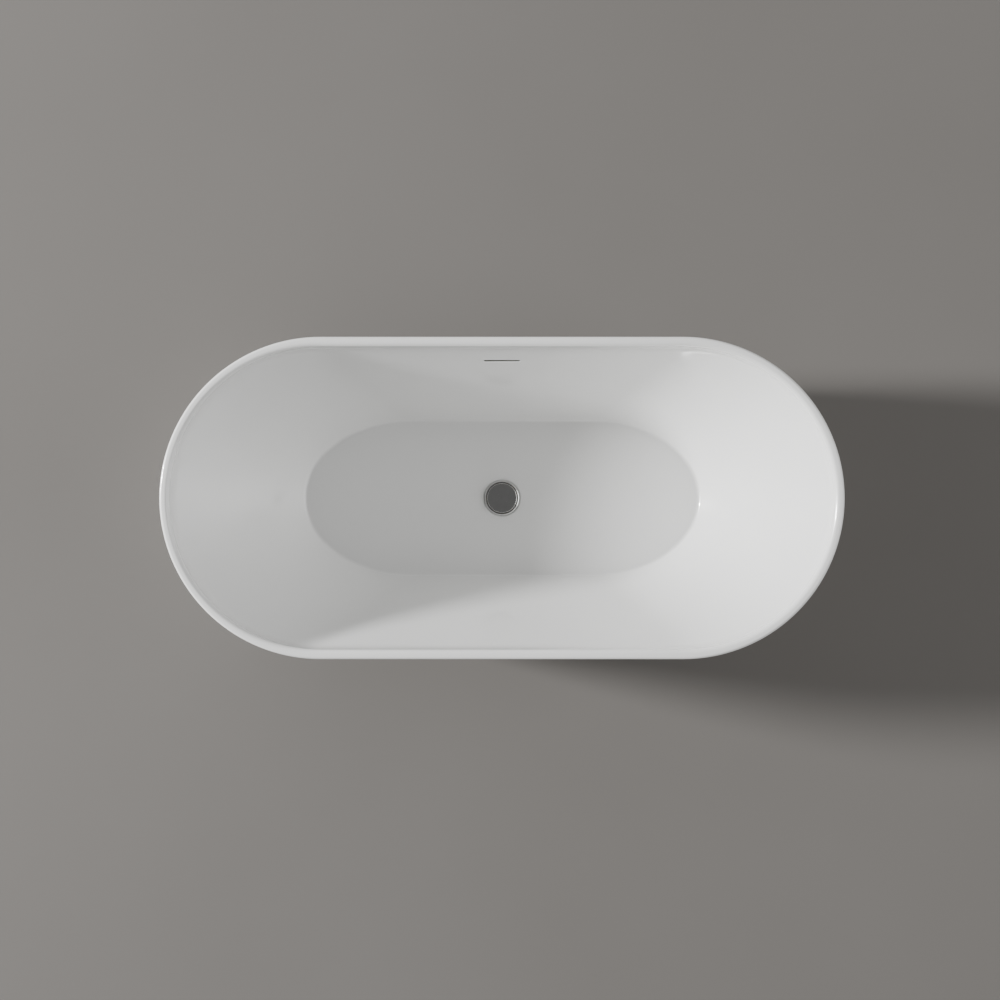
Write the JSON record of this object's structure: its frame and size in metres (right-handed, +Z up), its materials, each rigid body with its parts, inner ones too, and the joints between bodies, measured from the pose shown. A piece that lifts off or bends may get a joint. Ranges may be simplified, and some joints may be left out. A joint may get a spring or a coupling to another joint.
{
  "type": "freestanding bathtub",
  "caption": "Oval double-shell freestanding bathtub with sloping ends, slot overflow, press-to-close waste and hidden steel frame on levelling feet.",
  "frame": {"origin": "on the floor, under the middle of the tub", "axes": "+X along the tub, +Y towards the overflow slot, +Z up"},
  "size_m": [1.7, 0.8, 0.58],
  "materials": {
    "acrylic": "gloss",
    "bond_adhesive": "matte",
    "plywood": "raw",
    "coated_steel": "satin",
    "black_plastic": "matte",
    "zinc_steel": "zinc plated",
    "rubber": "matte",
    "chrome": "polished",
    "brass": "turned",
    "white_plastic": "moulded",
    "hose_plastic": "moulded"
  },
  "bodies": {
    "tub": {"basin_shell": "acrylic", "outer_skirt": "acrylic", "rim_bond_bead": "bond_adhesive", "skirt_base_ring": "plywood", "floor_board": "plywood", "long_rail_front": "coated_steel", "long_rail_back": "coated_steel", "cross_rail_left": "coated_steel", "cross_rail_right": "coated_steel", "inner_cross_rail_left": "coated_steel", "inner_cross_rail_right": "coated_steel", "rail_end_plugs": "black_plastic", "rail_board_screws": "zinc_steel", "skirt_bracket_1": "zinc_steel", "skirt_bracket_2": "zinc_steel", "skirt_bracket_3": "zinc_steel", "skirt_bracket_4": "zinc_steel", "bracket_rail_bolts": "zinc_steel", "bracket_ring_screws": "zinc_steel", "foot_weld_nuts": "zinc_steel", "foot_lock_nuts": "zinc_steel", "drain_flange": "chrome", "flange_seal": "rubber", "body_gasket": "rubber", "drain_body": "white_plastic", "cartridge_body": "brass", "click_spring": "zinc_steel", "tail_pipe": "chrome", "tail_washer": "rubber", "tail_nut": "chrome", "overflow_gasket": "rubber", "overflow_box": "black_plastic", "overflow_studs": "zinc_steel", "overflow_nuts": "zinc_steel", "overflow_hose": "hose_plastic", "hose_clamp_upper": "zinc_steel", "hose_clamp_lower": "zinc_steel", "hose_clamp_screws": "zinc_steel"},
    "cap": {"drain_cap": "chrome", "cap_stem": "brass", "cap_seal": "rubber"},
    "index": {"index_ring": "white_plastic"},
    "pad_1": {"foot_pad_1": "black_plastic", "foot_sole_1": "rubber"},
    "stud_1": {"foot_stud_1": "zinc_steel"},
    "pad_2": {"foot_pad_2": "black_plastic", "foot_sole_2": "rubber"},
    "stud_2": {"foot_stud_2": "zinc_steel"},
    "pad_3": {"foot_pad_3": "black_plastic", "foot_sole_3": "rubber"},
    "stud_3": {"foot_stud_3": "zinc_steel"},
    "pad_4": {"foot_pad_4": "black_plastic", "foot_sole_4": "rubber"},
    "stud_4": {"foot_stud_4": "zinc_steel"}
  },
  "joints": [
    {"name": "cap_press", "type": "slide", "parent": "tub", "child": "cap", "axis": [0, 0, 1], "range_m": [-0.009, 0], "stiffness_N_per_m": 500, "springref_m": 0.012, "deforming": ["click_spring"]},
    {"name": "index_turn", "type": "hinge", "parent": "cap", "child": "index", "pos_m": [0, 0, 0.13], "axis": [0, 0, 1], "range_deg": [0, 45]},
    {"name": "foot_lift_1", "type": "slide", "parent": "tub", "child": "pad_1", "axis": [0, 0, 1], "range_m": [-0.02, 0]},
    {"name": "stud_turn_1", "type": "hinge", "parent": "pad_1", "child": "stud_1", "pos_m": [-0.43, -0.215, 0.05], "axis": [0, 0, 1], "range_deg": [-4114.3, 0]},
    {"name": "foot_lift_2", "type": "slide", "parent": "tub", "child": "pad_2", "axis": [0, 0, 1], "range_m": [-0.02, 0]},
    {"name": "stud_turn_2", "type": "hinge", "parent": "pad_2", "child": "stud_2", "pos_m": [-0.43, 0.215, 0.05], "axis": [0, 0, 1], "range_deg": [-4114.3, 0]},
    {"name": "foot_lift_3", "type": "slide", "parent": "tub", "child": "pad_3", "axis": [0, 0, 1], "range_m": [-0.02, 0]},
    {"name": "stud_turn_3", "type": "hinge", "parent": "pad_3", "child": "stud_3", "pos_m": [0.43, -0.215, 0.05], "axis": [0, 0, 1], "range_deg": [-4114.3, 0]},
    {"name": "foot_lift_4", "type": "slide", "parent": "tub", "child": "pad_4", "axis": [0, 0, 1], "range_m": [-0.02, 0]},
    {"name": "stud_turn_4", "type": "hinge", "parent": "pad_4", "child": "stud_4", "pos_m": [0.43, 0.215, 0.05], "axis": [0, 0, 1], "range_deg": [-4114.3, 0]}
  ],
  "couplings": [
    {"joint": "index_turn", "follows": "cap_press", "rad_per_m": -87.26},
    {"joint": "stud_turn_1", "follows": "foot_lift_1", "rad_per_m": 3590.4},
    {"joint": "stud_turn_2", "follows": "foot_lift_2", "rad_per_m": 3590.4},
    {"joint": "stud_turn_3", "follows": "foot_lift_3", "rad_per_m": 3590.4},
    {"joint": "stud_turn_4", "follows": "foot_lift_4", "rad_per_m": 3590.4}
  ]
}
